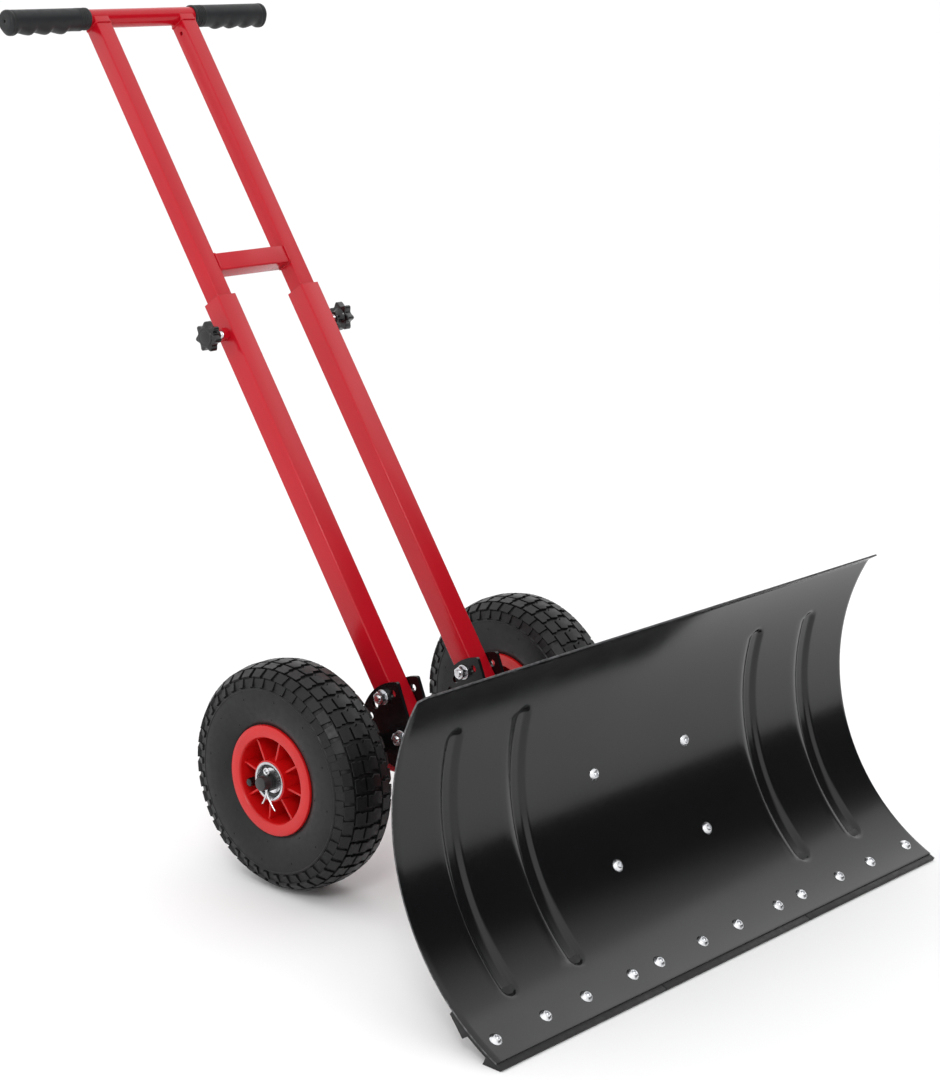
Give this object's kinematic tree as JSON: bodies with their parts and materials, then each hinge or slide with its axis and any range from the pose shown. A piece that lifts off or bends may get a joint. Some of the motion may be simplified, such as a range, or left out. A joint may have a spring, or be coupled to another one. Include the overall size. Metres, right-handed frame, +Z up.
{
  "type": "wheeled snow shovel",
  "caption": "Two-wheeled push snow shovel: wide curved blade on a swivelling bracket, square-tube frame and a height-adjustable T handle with rubber grips.",
  "frame": {"origin": "centre of the bounding box's footprint, on the floor that the wheels and the wear strips stand on", "axes": "+X along the axle to the right, +Y back towards the handle, +Z up; the blade faces -Y"},
  "size_m": [0.74, 0.9436, 0.9246],
  "materials": {
    "black_paint": "gloss powder coat",
    "red_paint": "gloss powder coat",
    "zinc_steel": "bright zinc plate",
    "red_steel_nut": "gloss powder coat",
    "black_steel": "satin black",
    "wear_rubber": "satin",
    "tyre_rubber": "matt moulded rubber",
    "tube_rubber": "matt",
    "red_plastic": "gloss moulding",
    "black_plastic": "fine grain",
    "grip_rubber": "matt",
    "bearing_steel": "zinc plate"
  },
  "bodies": {
    "chassis": {"left_rail": "red_paint", "right_rail": "red_paint", "front_cross_tube": "red_paint", "rear_cross_tube": "red_paint", "tube_plugs": "black_plastic", "left_ears": "black_paint", "right_ears": "black_paint", "ear_bolts": "zinc_steel", "ear_washers": "zinc_steel", "ear_nuts": "zinc_steel", "axle": "black_steel", "axle_spacers": "black_steel", "hub_spacers": "black_steel", "axle_washers": "zinc_steel", "axle_collars": "black_steel", "bearing_rings": "bearing_steel", "split_pins": "zinc_steel", "left_lower_tube": "red_paint", "right_lower_tube": "red_paint", "weld_nuts": "red_steel_nut", "swivel_pin": "zinc_steel", "swivel_nut": "zinc_steel"},
    "blade": {"blade_sheet": "black_paint", "wear_strips": "wear_rubber", "strip_bolts": "zinc_steel", "strip_nuts": "zinc_steel", "blade_bolts": "zinc_steel", "blade_nuts": "zinc_steel", "blade_back_plate": "black_paint", "blade_ribs": "black_paint", "swivel_top_plate": "black_paint", "swivel_low_plate": "black_paint"},
    "upper_handle": {"left_leg": "red_paint", "right_leg": "red_paint", "mid_bar": "red_paint", "top_bar": "red_paint", "left_grip": "grip_rubber", "right_grip": "grip_rubber"},
    "clamp_stud_slide": {"clamp_stud": "zinc_steel", "clamp_washer": "zinc_steel"},
    "clamp_knob_turn": {"clamp_knob": "black_plastic"},
    "left_wheel": {"left_tyre": "tyre_rubber", "left_rim": "red_plastic", "left_inner_tube": "tube_rubber", "left_valve": "tube_rubber", "left_valve_cap": "black_plastic", "left_bearing_cups": "bearing_steel", "left_bearing_balls": "bearing_steel"},
    "left_stud_slide": {"left_knob_stud": "zinc_steel"},
    "left_knob_turn": {"left_knob": "black_plastic"},
    "right_wheel": {"right_tyre": "tyre_rubber", "right_rim": "red_plastic", "right_inner_tube": "tube_rubber", "right_valve": "tube_rubber", "right_valve_cap": "black_plastic", "right_bearing_cups": "bearing_steel", "right_bearing_balls": "bearing_steel"},
    "right_stud_slide": {"right_knob_stud": "zinc_steel"},
    "right_knob_turn": {"right_knob": "black_plastic"}
  },
  "joints": [
    {"name": "handle_height", "type": "slide", "parent": "chassis", "child": "upper_handle", "axis": [0, 0.5693, 0.8221], "range_m": [-0.02, 0.15]},
    {"name": "blade_swivel", "type": "hinge", "parent": "chassis", "child": "blade", "pos_m": [0, -0.2485, 0.127], "axis": [0, 0, 1], "range_deg": [-30, 30]},
    {"name": "left_wheel_spin", "type": "hinge", "parent": "chassis", "child": "left_wheel", "pos_m": [-0.187, 0.0005, 0.127], "axis": [1, 0, 0], "continuous": true},
    {"name": "right_wheel_spin", "type": "hinge", "parent": "chassis", "child": "right_wheel", "pos_m": [0.187, 0.0005, 0.127], "axis": [1, 0, 0], "continuous": true},
    {"name": "left_stud_travel", "type": "slide", "parent": "chassis", "child": "left_stud_slide", "axis": [-1, 0, 0], "range_m": [0, 0.0025]},
    {"name": "left_knob_spin", "type": "hinge", "parent": "left_stud_slide", "child": "left_knob_turn", "pos_m": [-0.0918, 0.22278, 0.57072], "axis": [-1, 0, 0], "range_deg": [0, 721]},
    {"name": "right_stud_travel", "type": "slide", "parent": "chassis", "child": "right_stud_slide", "axis": [1, 0, 0], "range_m": [0, 0.0025]},
    {"name": "right_knob_spin", "type": "hinge", "parent": "right_stud_slide", "child": "right_knob_turn", "pos_m": [0.0918, 0.22278, 0.57072], "axis": [1, 0, 0], "range_deg": [0, 721]},
    {"name": "clamp_stud_travel", "type": "slide", "parent": "chassis", "child": "clamp_stud_slide", "axis": [0, 0, 1], "range_m": [0, 0.0025]},
    {"name": "clamp_knob_spin", "type": "hinge", "parent": "clamp_stud_slide", "child": "clamp_knob_turn", "pos_m": [0, -0.1795, 0.15], "axis": [0, 0, 1], "range_deg": [0, 721]}
  ],
  "couplings": [
    {"joint": "left_knob_spin", "follows": "left_stud_travel", "rad_per_m": 5026.5},
    {"joint": "right_knob_spin", "follows": "right_stud_travel", "rad_per_m": 5026.5},
    {"joint": "clamp_knob_spin", "follows": "clamp_stud_travel", "rad_per_m": 5026.5}
  ]
}
